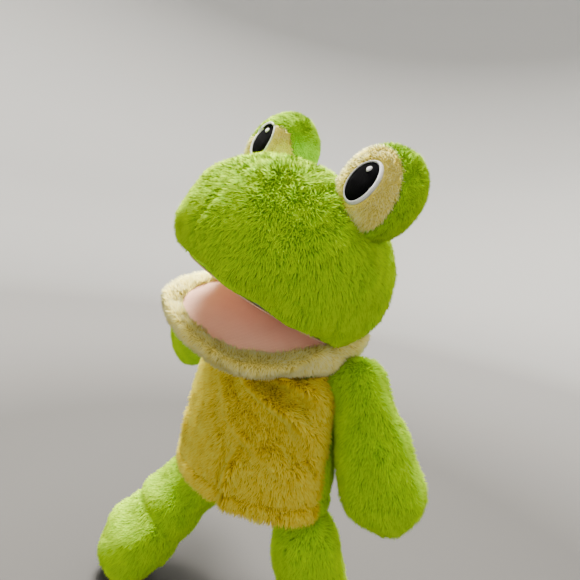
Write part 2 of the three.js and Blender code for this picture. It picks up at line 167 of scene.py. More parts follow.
def plate_normal(node):
    """The direction across a flat plate, pointing up."""
    points = cad_points(node)
    normal = np.linalg.svd(points - points.mean(0), full_matrices=False)[2][2]
    return normal if normal[2] > 0 else -normal


def to_local(axes, points):
    """World metres to millimetres in the given axes."""
    return (points - axes[:3, 3]) @ axes[:3, :3] / MM


def to_world(axes, points):
    return np.asarray(points) * MM @ axes[:3, :3].T + axes[:3, 3]


MOUTH = JOINTS["mouth_open"]
HEAD = axes_at(MOUTH["pos_m"], MOUTH["axis"], plate_normal("palate_board"))
JAW = axes_at(MOUTH["pos_m"], MOUTH["axis"], plate_normal("jaw_board"))
NECK = np.array(JOINTS["head_turn"]["pos_m"])


def limb_axes(node, joint):
    """Axes at a limb's joint: Z out along the limb, X across its wide way, Y through it to the back."""
    origin = np.array(JOINTS[joint]["pos_m"])
    points = cad_points(node)
    z = points.mean(0) - origin
    z /= np.linalg.norm(z)
    across = np.cross([0, 1, 0], z)
    return axes_at(origin, across, z)


# ------------------------------------------------------------------ mesh helpers

def new_object(name, verts, faces):
    mesh = bpy.data.meshes.new(name)
    mesh.from_pydata([tuple(v) for v in verts], [], faces)
    mesh.update()
    return link_object(name, mesh)


def grid_faces(columns, rows, closed=False):
    """Faces of a grid of cells whose points are stored column by column, closed into a ring or not."""
    high = rows + 1
    count = columns if closed else columns + 1
    return [(c * high + r, (c + 1) % count * high + r, (c + 1) % count * high + r + 1, c * high + r + 1)
            for c in range(columns) for r in range(rows)]


def ring_faces(rings, spokes):
    """Faces between closed rings of points that are stored ring by ring."""
    return [(k * spokes + c, k * spokes + (c + 1) % spokes,
             (k + 1) * spokes + (c + 1) % spokes, (k + 1) * spokes + c)
            for k in range(rings) for c in range(spokes)]


def freeze(obj):
    """Turns an object's modifiers into its own plain mesh."""
    graph = bpy.context.evaluated_depsgraph_get()
    mesh = bpy.data.meshes.new_from_object(obj.evaluated_get(graph))
    old = obj.data
    obj.modifiers.clear()
    obj.data = mesh
    mesh.name = obj.name
    if old.users == 0:
        bpy.data.meshes.remove(old)
    return obj


def modify(obj, kind, **settings):
    modifier = obj.modifiers.new(kind.lower(), kind)
    for key, value in settings.items():
        setattr(modifier, key, value)
    return freeze(obj)


def coords(obj):
    return read_vectors(obj.data.vertices, "co").astype(float)


def normals(obj):
    return read_vectors(obj.data.vertex_normals, "vector").astype(float)


def set_coords(obj, points):
    obj.data.vertices.foreach_set("co", points.astype(np.float32).ravel())
    obj.data.update()


def hull(name, points):
    """The closed convex skin round a cloud of points in metres."""
    shape = bmesh.new()
    for p in points:
        shape.verts.new(p)
    bmesh.ops.convex_hull(shape, input=shape.verts)
    loose = [v for v in shape.verts if not v.link_faces]
    bmesh.ops.delete(shape, geom=loose, context="VERTS")
    bmesh.ops.recalc_face_normals(shape, faces=shape.faces)
    mesh = bpy.data.meshes.new(name)
    shape.to_mesh(mesh)
    shape.free()
    return link_object(name, mesh)


def ball_points(centre, radius, squash=(1, 1, 1), around=16):
    """Points on a ball, or on a ball squashed along its own axes."""
    found = []
    for i in range(around // 2 + 1):
        polar = math.pi * i / (around // 2)
        for k in range(around):
            turn = 2 * math.pi * k / around
            p = np.array([math.sin(polar) * math.cos(turn), math.sin(polar) * math.sin(turn),
                          math.cos(polar)])
            found.append(np.array(centre) + p * radius * np.array(squash))
    return np.array(found)


def join(first, *others):
    """Joins objects into the first."""
    shape = bmesh.new()
    for obj in (first, *others):
        shape.from_mesh(obj.data)
    shape.to_mesh(first.data)
    shape.free()
    for obj in others:
        bpy.data.objects.remove(obj)
    return first


def soften(obj, voxel, rounds):
    """Welds overlapping closed forms into one skin of even faces, and rounds it."""
    modify(obj, "REMESH", mode="VOXEL", voxel_size=voxel * MM)
    modify(obj, "SMOOTH", factor=0.5, iterations=rounds)
    return modify(obj, "SUBSURF", levels=1, render_levels=1)


def wave_noise(points, size, seed):
    """Smooth noise from -1 to 1 with lumps of the given size in millimetres, the same at every run."""
    random = np.random.default_rng(seed)
    total = np.zeros(len(points))
    for _ in range(14):
        direction = random.normal(size=3)
        direction /= np.linalg.norm(direction)
        turns = random.uniform(0.6, 1.5) * 2 * math.pi / (size * MM)
        total += np.sin(points @ direction * turns + random.uniform(0, 2 * math.pi))
    return total / 5


def ridge(distance, width):
    """A smooth bump, 1 at no distance and fading over the given width."""
    return np.exp(-(distance / width) ** 2)


def push(obj, amount):
    """Moves each vertex along its normal by an amount in millimetres."""
    set_coords(obj, coords(obj) + normals(obj) * np.asarray(amount)[:, None] * MM)
    return obj


def shade_smooth(obj):
    obj.data.polygons.foreach_set("use_smooth", np.ones(len(obj.data.polygons), bool))
    return obj


def store(obj, name, values, kind="FLOAT"):
    """Stores one value or vector for each vertex."""
    old = obj.data.attributes.get(name)
    if old:
        obj.data.attributes.remove(old)
    layer = obj.data.attributes.new(name, kind, "POINT")
    key = "vector" if kind == "FLOAT_VECTOR" else "value"
    layer.data.foreach_set(key, np.asarray(values, np.float32).ravel())


# ------------------------------------------------------------------ materials

def node(tree, kind, links=(), **settings):
    """Adds a node: settings are its properties or its inputs' values, links are (input, socket) pairs."""
    made = tree.nodes.new(kind)
    for key, value in settings.items():
        if hasattr(made, key):
            setattr(made, key, value)
        else:
            made.inputs[key.replace("_", " ")].default_value = value
    for key, source in links:
        tree.links.new(source, made.inputs[key])
    return made


def new_material(name, colour):
    made = bpy.data.materials.new(name)
    made.use_nodes = True
    made.diffuse_color = linear(colour)
    made.node_tree.nodes.clear()
    return made, made.node_tree


def scaled(tree, source, by, plus):
    """A value multiplied and added to."""
    made = node(tree, "ShaderNodeMath", [(0, source)], operation="MULTIPLY_ADD")
    made.inputs[1].default_value = by
    made.inputs[2].default_value = plus
    return made.outputs[0]


def colour_ramp(tree, source, first, last, *between):
    """Turns a value into a colour. Each stop is its place and its linear colour."""
    ramp = node(tree, "ShaderNodeValToRGB", [("Fac", source)])
    for stop, (place, colour) in zip(ramp.color_ramp.elements, (first, last)):
        stop.position = place
        stop.color = colour
    for place, colour in between:
        ramp.color_ramp.elements.new(place).color = colour
    return ramp.outputs["Color"]


def finish_surface(tree, colour, height=None, strength=0.0, deep=0.0, **settings):
    """The surface, with a bump of the given strength and depth in metres where there is a height."""
    links = [("Base Color", colour)]
    if height is not None:
        bump = node(tree, "ShaderNodeBump", [("Height", height)], Strength=strength, Distance=deep)
        links.append(("Normal", bump.outputs["Normal"]))
    surface = node(tree, "ShaderNodeBsdfPrincipled", links, **settings)
    node(tree, "ShaderNodeOutputMaterial", [("Surface", surface.outputs[0])])


def pile_fabric(name, shade, middle, light):
    """Knitted polyester plush: fibres painted dark at the root, as painted shade where the light doesn't reach,
    and painted pale at the tip, as painted highlight.
    Tufts differ a little from each other, and brushed areas drift lighter and darker."""
    made, tree = new_material(name, middle)
    tip = node(tree, "ShaderNodeAttribute", attribute_name="tip")
    tone = node(tree, "ShaderNodeAttribute", attribute_name="tone")
    place = node(tree, "ShaderNodeTexCoord")
    # Brushed patches of pile are about 14 mm across.
    patches = node(tree, "ShaderNodeTexNoise", [("Vector", place.outputs["Object"])], Scale=70.0, Detail=2.0)
    drift = scaled(tree, patches.outputs["Fac"], 0.45, -0.225)
    tuft = scaled(tree, tone.outputs["Fac"], 0.34, -0.17)
    both = node(tree, "ShaderNodeMath", [(0, drift), (1, tuft)], operation="ADD")
    along = node(tree, "ShaderNodeMath", [(0, tip.outputs["Fac"]), (1, both.outputs[0])], operation="ADD")
    # Painted shade at the tufts' roots, running to painted light at their tips.
    colour = colour_ramp(tree, along.outputs[0], (0, linear(shade)), (1, linear(light)), (0.45, linear(middle)))
    finish_surface(tree, colour, Roughness=0.8, Sheen_Weight=0.0, Specular_IOR_Level=0.03)
    return made


def woven(name, light, dark, spacing):
    """Smooth woven or knitted cloth: rows at the given spacing, broken by a fine grain, in the colour
    and as a bump, with soft patches lighter and darker."""
    made, tree = new_material(name, light)
    place = node(tree, "ShaderNodeTexCoord")
    rows = node(tree, "ShaderNodeTexWave", [("Vector", place.outputs["Object"])], bands_direction="Z",
                Scale=1 / (spacing * MM) / 20 * 3.14, Distortion=1.2, Detail=2.0)
    grain = node(tree, "ShaderNodeTexNoise", [("Vector", place.outputs["Object"])], Scale=900.0, Detail=3.0)
    soft = node(tree, "ShaderNodeTexNoise", [("Vector", place.outputs["Object"])], Scale=45.0, Detail=2.0)
    mixed = node(tree, "ShaderNodeMath", [(0, rows.outputs["Fac"]), (1, grain.outputs["Fac"])],
                 operation="MULTIPLY")
    total = node(tree, "ShaderNodeMath", [(0, mixed.outputs[0]), (1, soft.outputs["Fac"])], operation="ADD")
    colour = colour_ramp(tree, total.outputs[0], (0.3, linear(dark)), (1, linear(light)))
    finish_surface(tree, colour, mixed.outputs[0], 0.35, 0.0004,
                   Roughness=0.85, Sheen_Weight=0.25, Sheen_Roughness=0.4, Specular_IOR_Level=0.2)
    return made


def satin_stitch(name, colour, rough, shine):
    """Satin-stitch embroidery: rayon threads side by side, with painted shade between them.
    Real thread is finer than STITCH, which is wide so that the threads show."""
    made, tree = new_material(name, colour)
    run = node(tree, "ShaderNodeAttribute", attribute_name="stitch")
    line = node(tree, "ShaderNodeMath", [(0, run.outputs["Fac"])], operation="SINE")
    lift = scaled(tree, line.outputs[0], 0.5, 0.5)
    # Painted shade: the grooves between the threads are the thread's colour darkened.
    between = [c * 0.55 for c in linear(colour)[:3]] + [1.0]
    shade = colour_ramp(tree, lift, (0, between), (1, linear(colour)))
    finish_surface(tree, shade, lift, 0.5, 0.0003, Roughness=rough, Specular_IOR_Level=shine)
    return made


def matted(name, colour, dark, size):
    """Felt board or loose polyester stuffing: no direction, only clumps of the given size."""
    made, tree = new_material(name, colour)
    place = node(tree, "ShaderNodeTexCoord")
    clumps = node(tree, "ShaderNodeTexNoise", [("Vector", place.outputs["Object"])],
                  Scale=1 / (size * MM), Detail=6.0, Roughness=0.7)
    shade = colour_ramp(tree, clumps.outputs["Fac"], (0.35, linear(dark)), (0.65, linear(colour)))
    finish_surface(tree, shade, clumps.outputs["Fac"], 0.6, 0.001, Roughness=0.95)
    return made


# Each plush's colours are its painted shade at the root, its own colour, and its painted light at the tip.
GREEN = pile_fabric("lime_polyester_plush", "#629400", "#9cd800", "#d0fc10")
YELLOW = pile_fabric("yellow_polyester_plush", "#8e6e00", "#eecc0c", "#fff65c")
LIP = pile_fabric("pale_yellow_polyester_plush", "#c4ac40", "#fff07a", "#fffbb8")
# The eyes' fronts share the slot yellow_plush with the belly, and are paler.
EYE_YELLOW = pile_fabric("pale_yellow_short_plush", "#c0a838", "#fff06a", "#fffcc0")
PINK = woven("pink_brushed_tricot", "#ecbda8", "#e2ae98", 0.3)
LINING = woven("cream_woven_lining", "#e6e4d6", "#c9c6b4", 0.8)
FELT = matted("grey_felt_board", "#97948f", "#7d7a76", 1.2)
STUFFING = matted("white_polyester_stuffing", "#f4f2ec", "#dcd9d0", 4.0)
BLACK = satin_stitch("black_rayon_satin_stitch", "#0e0e10", 0.9, 0.01)
WHITE = satin_stitch("white_rayon_satin_stitch", "#e4e4e6", 0.5, 0.3)

SLOT_MATERIALS = {
    "green_plush": GREEN, "yellow_plush": YELLOW, "lip_plush": LIP, "mouth_jersey": PINK,
    "lining_cloth": LINING, "felt_board": FELT, "fibre_filling": STUFFING,
    "black_thread": BLACK, "white_thread": WHITE,
}


def dress(obj, slot, material=None):
    obj.data.materials.clear()
    obj.data.materials.append(material or SLOT_MATERIALS[slot])
    shade_smooth(obj)
    return obj


# ------------------------------------------------------------------ pile

def pile_tree():
    """Geometry Nodes: scatters tapered tufts over a skin, leaning along its comb vectors."""
    tree = bpy.data.node_groups.new("pile", "GeometryNodeTree")
    sockets = [
        ("Skin", "NodeSocketGeometry"), ("Tufts per m2", "NodeSocketFloat"), ("Length", "NodeSocketFloat"),
        ("Width", "NodeSocketFloat"), ("Lean", "NodeSocketFloat"), ("Clump", "NodeSocketFloat"),
        ("Seed", "NodeSocketInt"), ("Fabric", "NodeSocketMaterial"),
    ]
    for label, kind in sockets:
        tree.interface.new_socket(label, in_out="INPUT", socket_type=kind)
    tree.interface.new_socket("Pile", in_out="OUTPUT", socket_type="NodeSocketGeometry")
    given = tree.nodes.new("NodeGroupInput").outputs
    height = node(tree, "GeometryNodeInputNamedAttribute", Name="pile")
    density = node(tree, "ShaderNodeMath", [(0, height.outputs[0]), (1, given["Tufts per m2"])],
                   operation="MULTIPLY")
    density_capped = node(tree, "ShaderNodeMath", [(0, density.outputs[0]), (1, given["Tufts per m2"])],
                          operation="MINIMUM")
    points = node(tree, "GeometryNodeDistributePointsOnFaces",
                  [("Mesh", given["Skin"]), ("Density", density_capped.outputs[0]), ("Seed", given["Seed"])])
    comb = node(tree, "GeometryNodeInputNamedAttribute", data_type="FLOAT_VECTOR", Name="comb")
    leaning = node(tree, "ShaderNodeVectorMath", [(0, comb.outputs[0]), ("Scale", given["Lean"])],
                   operation="SCALE")
    place = node(tree, "GeometryNodeInputPosition")
    # Neighbouring fibres stick together in clumps a few millimetres across.
    swirl = node(tree, "ShaderNodeTexNoise", [("Vector", place.outputs[0])], Scale=150.0, Detail=2.0)
    centred = node(tree, "ShaderNodeVectorMath", [(0, swirl.outputs["Color"])], operation="SUBTRACT")
    centred.inputs[1].default_value = (0.5, 0.5, 0.5)
    clump = node(tree, "ShaderNodeVectorMath", [(0, centred.outputs[0]), ("Scale", given["Clump"])],
                 operation="SCALE")
    stray = node(tree, "FunctionNodeRandomValue", [("Seed", given["Seed"])], data_type="FLOAT_VECTOR")
    stray.inputs[0].default_value = (-0.28, -0.28, -0.28)
    stray.inputs[1].default_value = (0.28, 0.28, 0.28)
    sum_one = node(tree, "ShaderNodeVectorMath", [(0, points.outputs["Normal"]), (1, leaning.outputs[0])],
                   operation="ADD")
    sum_two = node(tree, "ShaderNodeVectorMath", [(0, sum_one.outputs[0]), (1, clump.outputs[0])],
                   operation="ADD")
    sum_three = node(tree, "ShaderNodeVectorMath", [(0, sum_two.outputs[0]), (1, stray.outputs[0])],
                     operation="ADD")
    aim = node(tree, "FunctionNodeAlignRotationToVector", [("Vector", sum_three.outputs[0])], axis="Z")
    spin_angle = node(tree, "FunctionNodeRandomValue", [("Seed", given["Seed"])])
    spin_angle.inputs[3].default_value = 2 * math.pi
    spin = node(tree, "FunctionNodeAxisAngleToRotation", [("Angle", spin_angle.outputs[1])])
    turned = node(tree, "FunctionNodeRotateRotation",
                  [("Rotation", aim.outputs[0]), ("Rotate By", spin.outputs[0])], rotation_space="LOCAL")
    # The tuft: a three-sided taper, closed at its root.
    cone = node(tree, "GeometryNodeMeshCone", fill_type="NGON", Vertices=3, Radius_Top=0.0,
                Radius_Bottom=0.5, Depth=1.0)
    # Each point's height along the tuft is stored as tip, which the fabric turns into painted shade at the root
    # and painted light at the tip.
    high = node(tree, "ShaderNodeSeparateXYZ", [(0, place.outputs[0])])
    tuft = node(tree, "GeometryNodeStoreNamedAttribute",
                [("Geometry", cone.outputs["Mesh"]), ("Value", high.outputs["Z"])], Name="tip")
    long = node(tree, "FunctionNodeRandomValue", [("Seed", given["Seed"])])
    long.inputs[2].default_value = 0.7
    long.inputs[3].default_value = 1.15
    reach = node(tree, "ShaderNodeMath", [(0, long.outputs[1]), (1, given["Length"])], operation="MULTIPLY")
    reach_local = node(tree, "ShaderNodeMath", [(0, reach.outputs[0]), (1, height.outputs[0])],
                       operation="MULTIPLY")
    size = node(tree, "ShaderNodeCombineXYZ",
                [("X", given["Width"]), ("Y", given["Width"]), ("Z", reach_local.outputs[0])])
    tones = node(tree, "FunctionNodeRandomValue", [("Seed", given["Seed"])])
    toned = node(tree, "GeometryNodeStoreNamedAttribute",
                 [("Geometry", points.outputs["Points"]), ("Value", tones.outputs[1])], Name="tone")
    facing = node(tree, "GeometryNodeStoreNamedAttribute",
                  [("Geometry", toned.outputs[0]), ("Value", points.outputs["Normal"])],
                  data_type="FLOAT_VECTOR", Name="skin_normal")
    stuck = node(tree, "GeometryNodeInstanceOnPoints",
                 [("Points", facing.outputs[0]), ("Instance", tuft.outputs[0]),
                  ("Rotation", turned.outputs[0]), ("Scale", size.outputs[0])])
    real = node(tree, "GeometryNodeRealizeInstances", [("Geometry", stuck.outputs[0])])
    coloured = node(tree, "GeometryNodeSetMaterial",
                    [("Geometry", real.outputs[0]), ("Material", given["Fabric"])])
    out = tree.nodes.new("NodeGroupOutput")
    tree.links.new(coloured.outputs[0], out.inputs[0])
    return tree


PILE_TREE = pile_tree()
PILE_SOCKETS = {item.name: item.identifier for item in PILE_TREE.interface.items_tree
                if item.in_out == "INPUT"}


def tangent(vectors, along):
    """The part of each vector that lies in the skin, at unit length where there is any."""
    flat = vectors - along * (vectors * along).sum(1)[:, None]
    size = np.linalg.norm(flat, axis=1)[:, None]
    return flat / np.maximum(size, 0.25)


def grow_pile(skin, name, slot, comb, length=PILE_LONG, height=None, lean=0.6, clump=1.7,
              density=TUFTS_PER_MM2, width=TUFT_WIDTH, material=None):
    """Grows pile on a skin and returns it as a plain mesh. comb is a direction for each vertex, and
    height is each vertex's share of the full length."""
    count = len(skin.data.vertices)
    comb = np.broadcast_to(np.asarray(comb, float), (count, 3)).copy()
    # Handling has ruffled the pile into drifts about 20 mm across.
    for axis in range(3):
        comb[:, axis] += SWIRL * wave_noise(coords(skin), 20, 40 + axis)
    store(skin, "comb", tangent(comb, normals(skin)), "FLOAT_VECTOR")
    store(skin, "pile", np.ones(count) if height is None else height)
    # The skin between the tufts is painted part way between the pile's painted shade and painted light.
    store(skin, "tip", np.full(count, ROOT_TIP))
    store(skin, "tone", np.full(count, 0.5))
    grown = link_object(name, skin.data.copy())
    modifier = grown.modifiers.new("pile", "NODES")
    modifier.node_group = PILE_TREE
    seed = SEED + sum(ord(letter) * (i + 1) for i, letter in enumerate(name)) % 997
    values = {
        "Tufts per m2": density * 1e6, "Length": length * MM, "Width": width * MM, "Lean": lean,
        "Clump": clump, "Seed": seed, "Fabric": material or SLOT_MATERIALS[slot],
    }
    for label, value in values.items():
        modifier[PILE_SOCKETS[label]] = value
    freeze(grown)
    for layer in ("comb", "pile"):
        if layer in grown.data.attributes:
            grown.data.attributes.remove(grown.data.attributes[layer])
    light_softly(grown)
    return grown


def light_softly(pile):
    """Bends each tuft's shading towards the skin's own, as light scatters between real fibres."""
    mesh = pile.data
    own = read_vectors(mesh.vertex_normals, "vector")
    mixed = own * 0.28 + read_vectors(mesh.attributes["skin_normal"].data, "vector") * 0.72
    mixed /= np.maximum(np.linalg.norm(mixed, axis=1), 1e-6)[:, None]
    shade_smooth(pile)
    mesh.normals_split_custom_set_from_vertices(mixed)
    mesh.attributes.remove(mesh.attributes["skin_normal"])


# ------------------------------------------------------------------ the sleeve

def surface_tree(*objects):
    """A tree of the objects' faces, for finding their surface."""
    shape = bmesh.new()
    for obj in objects:
        shape.from_mesh(obj.data)
    made = BVHTree.FromBMesh(shape)
    shape.free()
    return made


BODY_TREE = surface_tree(frame["nodes"]["belly_panel"], frame["nodes"]["back_panel"])
BODY_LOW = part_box("belly_panel")[0]


def body_centre(z):
    """The sleeve's axis, on its way from the hem to the neck joint."""
    share = max(0.0, min(1.0, z / NECK[2]))
    return np.array([NECK[0] * share ** 2, NECK[1] * share ** 1.5])


def body_radius(turn, z):
    """How far out the sleeve's outer face is at an angle and a height, or None past its top edge."""
    cx, cy = body_centre(z)
    middle = Vector((cx, cy, z))
    for nudge in (0, 0.012, -0.012):  # past the narrow gap of the side seam
        way = Vector((math.cos(turn + nudge), math.sin(turn + nudge), 0))
        hit = BODY_TREE.ray_cast(middle + way * 0.2, -way, 0.2)
        if hit[0] is not None:
            return (hit[0] - middle).length
    return None


def body_top(turn):
    """The height of the sleeve's top edge at an angle."""
    z = BODY_LOW[2] + 0.09
    while body_radius(turn, z + 0.001) is not None and z < 0.16:
        z += 0.001
    return z


def fold_shape(points):
    """How far the belly's folds move each point of the cloth, in millimetres outwards. Each fold is
    a step: a roll of cloth on one side of its line, and a valley on the other."""
    total = np.zeros(len(points))
    flat = points[:, [0, 2]] / MM
    for fold in FOLDS:
        line = np.array(fold["path"], float)
        best = np.full(len(points), 1e9)
        side = np.zeros(len(points))
        fade = np.ones(len(points))
        for i, (a, b) in enumerate(zip(line[:-1], line[1:])):
            along = b - a
            t = ((flat - a) @ along) / (along @ along)
            inside = np.clip(t, 0, 1)
            gap = flat - (a + inside[:, None] * along)
            distance = np.linalg.norm(gap, axis=1)
            nearer = distance < best
            best = np.where(nearer, distance, best)
            cross = along[0] * gap[:, 1] - along[1] * gap[:, 0]
            side = np.where(nearer, np.sign(cross), side)
            place = (i + inside) / (len(line) - 1)
            fade = np.where(nearer, np.sin(math.pi * np.clip(0.12 + 0.8 * place, 0, 1)), fade)
        signed = best * side / fold["width"]
        step = signed * np.exp(-signed ** 2) * 2.2 - 0.55 * np.exp(-(signed * 3.2) ** 2)
        total += fold["depth"] * step * fade * (points[:, 1] < 0)
    return np.maximum(total, -VALLEY)


def sleeve_panel(name, start, stop):
    """One half of the sleeve as an open skin, from a hem rolled in at the bottom to the collar."""
    columns, rows, hem_rows = 96, 46, 7
    verts = []
    for c in range(columns + 1):
        turn = start + (stop - start) * c / columns
        top = body_top(turn) - 0.0008
        way = np.array([math.cos(turn), math.sin(turn)])
        edge = min(c, columns - c) / columns * abs(stop - start) * 60
        tuck = -SEAM_DEPTH * math.exp(-(edge / SEAM_WIDTH) ** 2)
        base = body_radius(turn, 0.004)
        for h in range(hem_rows):
            up = HEM_BACK_UP * (1 - h / hem_rows) * MM
            depth = HEM_INSIDE - 1.2 * (h / hem_rows) ** 6
            cx, cy = body_centre(up)
            out = body_radius(turn, max(up, 0.001)) - depth * MM
            verts.append((cx + way[0] * out, cy + way[1] * out, up + 0.0006))
        for r in range(rows + 1):
            z = 0.0004 + (top - 0.0004) * (r / rows) ** 1.05
            cx, cy = body_centre(z)
            out = (body_radius(turn, max(z, 0.001)) or base) + tuck * MM
            roll = max(0.0, 1 - z / 0.004)
            out -= 0.0022 * roll ** 2
            verts.append((cx + way[0] * out, cy + way[1] * out, z))
    high = hem_rows + rows + 1
    made = new_object(name, verts, grid_faces(columns, high - 1))
    outer = np.tile(np.arange(high) >= hem_rows, columns + 1)
    points = coords(made)
    heights = points[:, 2] / MM
    gather = -1.5 * ridge(heights - HEM_STITCH, 2.2)
    gather += 0.8 * ridge(heights - HEM_STITCH - 5, 4) * wave_noise(points * [1, 1, 0.2], 9, 5)
    sway = 1.4 * wave_noise(points, 45, 3) * np.clip(heights / 25, 0, 1)
    amount = np.where(outer, fold_shape(points) + gather + sway, 0.0)
    push(made, amount)
    store(made, "outer", outer)
    return made


def seal_sheet(obj, thick, offset=-1):
    return modify(obj, "SOLIDIFY", thickness=thick * MM, offset=offset, use_even_offset=False)


def make_body():
    down = (0, 0, -1)
    pieces = [
        ("belly_panel", "yellow_plush", -math.pi, 0, "hem_front"),
        ("back_panel", "green_plush", 0, math.pi, "hem_back"),
    ]
    for node_name, slot, start, stop, hem in pieces:
        skin = sleeve_panel("sleeve_" + node_name, start, stop)
        outer = np.empty(len(skin.data.vertices), np.float32)
        skin.data.attributes["outer"].data.foreach_get("value", outer)
        heights = coords(skin)[:, 2] / MM
        short = np.where(outer > 0, 1.0, 0.0) * (1 - 0.35 * ridge(heights - HEM_STITCH, 2.0))
        pile = grow_pile(skin, "pile_" + node_name, slot, down, height=short)
        seal_sheet(skin, PLUSH_THICK)
        dress(skin, slot)
        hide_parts(node_name, hem)
        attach(skin, "body")
        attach(pile, "body")


def make_body_lining():
    points = cad_points("body_lining")
    low, high = points[:, 2].min(), points[:, 2].max()
    columns, rows = 128, 24
    verts = []
    for c in range(columns):
        turn = 2 * math.pi * c / columns
        for r in range(rows + 1):
            z = low + (high - low) * r / rows
            cx, cy = body_centre(z)
            out = body_radius(turn, z) - LINING_INSIDE * MM
            verts.append((cx + math.cos(turn) * out, cy + math.sin(turn) * out, z))
    lining = new_object("sleeve_lining", verts, grid_faces(columns, rows, closed=True))
    ripple = 0.5 * wave_noise(coords(lining) * [1, 1, 0.3], 14, 21) - 0.6
    push(lining, ripple)
    seal_sheet(lining, CLOTH_THICK)
    dress(lining, "lining_cloth")
    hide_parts("body_lining")
    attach(lining, "body")


def ring_sheet(name, radius, low, turns, top, rows=16, columns=96):
    """A band of a ball about the neck's joint, from a level edge up to a top edge that follows top."""
    verts = []
    start, stop = turns
    for c in range(columns + 1):
        turn = start + (stop - start) * c / columns
        for r in range(rows + 1):
            z = low + (top(turn) - low) * r / rows
            rise = z - NECK[2]
            out = math.sqrt(max(radius ** 2 - rise ** 2, 0))
            verts.append((NECK[0] + math.cos(turn) * out, NECK[1] + math.sin(turn) * out, z))
    return new_object(name, verts, grid_faces(columns, rows))


def slope_top(node_name, behind_name=None):
    """The sloping top edge of a neck band, from its CAD nodes: low in front and high behind."""
    points = cad_points(node_name, *([behind_name] if behind_name else []))
    front = points[points[:, 1] < np.quantile(points[:, 1], 0.02) + 0.001][:, 2].max()
    back = points[:, 2].max()

    def top(turn):
        return front + (back - front) * (1 + math.sin(turn)) / 2
    return top


def make_neck():
    points = cad_points("neck_front", "neck_back")
    radius = np.linalg.norm(points - NECK, axis=1).max() - 0.0008
    low = points[:, 2].min()
    top = slope_top("neck_front", "neck_back")
    for node_name, slot, turns in (("neck_front", "yellow_plush", (-math.pi, 0)),
                                   ("neck_back", "green_plush", (0, math.pi))):
        skin = ring_sheet("band_" + node_name, radius, low, turns, top)
        at = coords(skin)
        angle = np.arctan2(at[:, 1] - NECK[1], at[:, 0] - NECK[0])
        edge = np.array([top(a) for a in angle])
        height = np.clip(1 - (edge - at[:, 2]) / 0.008, 0, 1)
        pile = grow_pile(skin, "pile_" + node_name, slot, (0, 0, 1), height=height, lean=1.2)
        seal_sheet(skin, PLUSH_THICK)
        dress(skin, slot)
        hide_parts(node_name)
        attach(skin, "neck")
        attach(pile, "neck")
    inner = cad_points("neck_lining")
    band = ring_sheet("band_neck_lining", np.linalg.norm(inner - NECK, axis=1).max() - 0.0001,
                      inner[:, 2].min(), (-math.pi, math.pi), slope_top("neck_lining"), columns=128)
    modify(band, "WELD", merge_threshold=0.0001)
    seal_sheet(band, CLOTH_THICK)
    dress(band, "lining_cloth")
    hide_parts("neck_lining")
    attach(band, "neck_inner")


# ------------------------------------------------------------------ the head

def superellipse(x, y, half, long):
    """0 in the middle of the mouth's outline and 1 on it; y counts only in front of the fold."""
    return (np.abs(x) / half) ** MOUTH_SQUARE + (np.clip(-y, 0, None) / long) ** MOUTH_SQUARE


def outline_of(lining, axes):
    """The half width and length of one half of the mouth, from its CAD lining."""
    local = to_local(axes, cad_points(lining))
    return local[:, 0].max(), -local[:, 1].min()


# The yellow plush round each corner of the mouth: balls from the jaw's lip up the side of the head.
# Each is its axes, x, y, z and radius.
CORNER_BALLS = [(JAW, 51, -30, -9, 8), (JAW, 55, -12, -11, 9), (HEAD, 53, 6, -11, 11.5),
                (HEAD, 54.5, 24, 3, 10.5), (HEAD, 52, 39, 16, 7)]
NECK_IN_HEAD = to_local(HEAD, NECK)
EYE_CENTRES = [cad_points(f"eye_{side}_filling").mean(0) for side in ("left", "right")]
PALATE_SIZE = outline_of("palate_lining", HEAD)
FLOOR_SIZE = outline_of("jaw_lining", JAW)


